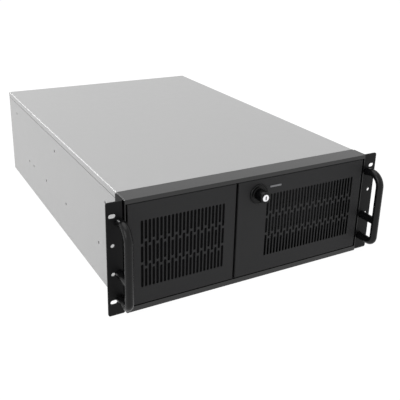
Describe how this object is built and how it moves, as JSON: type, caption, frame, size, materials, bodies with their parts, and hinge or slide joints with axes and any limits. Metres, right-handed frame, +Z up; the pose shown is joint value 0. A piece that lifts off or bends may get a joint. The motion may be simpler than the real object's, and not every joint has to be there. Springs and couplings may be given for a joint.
{
  "type": "rackmount server case",
  "caption": "Rackmount computer case with steel body, lift-off cover, vented and lockable front doors, rack ears with round-bar handles, drive bays, fans and rear openings.",
  "frame": {"origin": "centre of the bounding box's base, on the plane the case stands on", "axes": "+X to the right seen from the front, +Y from the front to the back, +Z up"},
  "size_m": [0.4826, 0.6994, 0.177],
  "materials": {
    "black_steel": "fine-textured black powder coat",
    "black_door": "fine-textured black powder coat",
    "black_frame": "fine-textured black powder coat",
    "black_ear": "satin black powder coat",
    "handle_black": "gloss black coat",
    "plated_steel": "bright galvanised sheet",
    "cover_steel": "bright galvanised sheet",
    "inner_steel": "galvanised sheet",
    "screw_steel": "zinc-plated screws",
    "black_screw": "black oxide screws",
    "pin_steel": "turned steel",
    "magnet": "nickel-plated magnets",
    "lock_black": "satin black zinc casting",
    "lock_chrome": "bright chrome",
    "lock_steel": "zinc-plated steel",
    "filter_foam": "open-cell foam",
    "fan_plastic": "black glass-filled plastic",
    "bay_plastic": "textured black plastic",
    "panel_plastic": "textured black plastic",
    "button_plastic": "glossy plastic",
    "green_lens": "clear green lens",
    "amber_lens": "clear amber lens",
    "circuit_board": "green solder mask",
    "socket_metal": "tinned steel shell",
    "brass": "turned brass"
  },
  "bodies": {
    "chassis": {"base_tray": "plated_steel", "cover_thumbscrews": "screw_steel", "front_frame": "black_frame", "front_frame_top": "black_frame", "front_panel": "inner_steel", "rear_panel": "plated_steel", "right_ear": "black_ear", "left_ear": "black_ear", "right_handle": "handle_black", "left_handle": "handle_black", "handle_screws": "screw_steel", "ear_screws": "black_screw", "door_hinge_pins": "pin_steel", "centre_post": "inner_steel", "door_magnets": "magnet", "front_fan_frame": "fan_plastic", "front_fan_guard": "screw_steel", "fan_screws": "black_screw", "bay_cage": "inner_steel", "disk_cage": "inner_steel", "control_panel": "panel_plastic", "control_board": "circuit_board", "power_lamp": "green_lens", "disk_lamp": "amber_lens", "slot_cover_screws": "screw_steel", "board_standoffs": "brass", "cross_brace": "inner_steel", "supply_stop": "inner_steel", "rear_fan_guards": "screw_steel", "bay_cover_1": "bay_plastic", "bay_cover_2": "bay_plastic", "bay_cover_3": "bay_plastic", "usb_port_1": "socket_metal", "usb_port_2": "socket_metal", "slot_cover_1": "plated_steel", "slot_cover_2": "plated_steel", "slot_cover_3": "plated_steel", "slot_cover_4": "plated_steel", "slot_cover_5": "plated_steel", "slot_cover_6": "plated_steel", "slot_cover_7": "plated_steel", "rear_fan_frame_left": "fan_plastic", "rear_fan_frame_right": "fan_plastic"},
    "cover": {"top_cover": "cover_steel"},
    "left_front_door": {"left_door": "black_door", "filter_frame": "black_steel", "filter_foam": "filter_foam", "filter_fixings": "screw_steel"},
    "right_front_door": {"right_door": "black_door", "lock_barrel": "lock_black", "lock_ring": "lock_black", "lock_nut": "lock_steel"},
    "door_lock": {"lock_plug": "lock_chrome", "lock_cam": "lock_steel", "cam_screw": "screw_steel"},
    "front_fan": {"front_fan_rotor": "fan_plastic"},
    "rear_fan_left": {"rear_fan_rotor_left": "fan_plastic"},
    "rear_fan_right": {"rear_fan_rotor_right": "fan_plastic"},
    "power_key": {"power_button": "button_plastic"},
    "reset_key": {"reset_button": "button_plastic"}
  },
  "joints": [
    {"name": "top_cover_lift", "type": "slide", "parent": "chassis", "child": "cover", "axis": [0, 0, 1], "range_m": [0, 0.1]},
    {"name": "left_door_hinge", "type": "hinge", "parent": "chassis", "child": "left_front_door", "pos_m": [-0.206, -0.3065, 0.0892], "axis": [0, 0, -1], "range_deg": [0, 95]},
    {"name": "right_door_hinge", "type": "hinge", "parent": "chassis", "child": "right_front_door", "pos_m": [0.206, -0.3065, 0.0892], "axis": [0, 0, 1], "range_deg": [0, 95]},
    {"name": "lock_turn", "type": "hinge", "parent": "right_front_door", "child": "door_lock", "pos_m": [0.004, -0.3118, 0.146], "axis": [0, -1, 0], "range_deg": [0, 90]},
    {"name": "front_fan_spin", "type": "hinge", "parent": "chassis", "child": "front_fan", "pos_m": [-0.1238, -0.2696, 0.0892], "axis": [0, 1, 0], "continuous": true},
    {"name": "rear_fan_left_spin", "type": "hinge", "parent": "chassis", "child": "rear_fan_left", "pos_m": [-0.0096, 0.3265, 0.115], "axis": [0, 1, 0], "continuous": true},
    {"name": "rear_fan_right_spin", "type": "hinge", "parent": "chassis", "child": "rear_fan_right", "pos_m": [0.0724, 0.3265, 0.115], "axis": [0, 1, 0], "continuous": true},
    {"name": "power_button_press", "type": "slide", "parent": "chassis", "child": "power_key", "axis": [0, 1, 0], "range_m": [0, 0.002], "stiffness_N_per_m": 300, "springref_m": -0.004},
    {"name": "reset_button_press", "type": "slide", "parent": "chassis", "child": "reset_key", "axis": [0, 1, 0], "range_m": [0, 0.002], "stiffness_N_per_m": 300, "springref_m": -0.004}
  ]
}
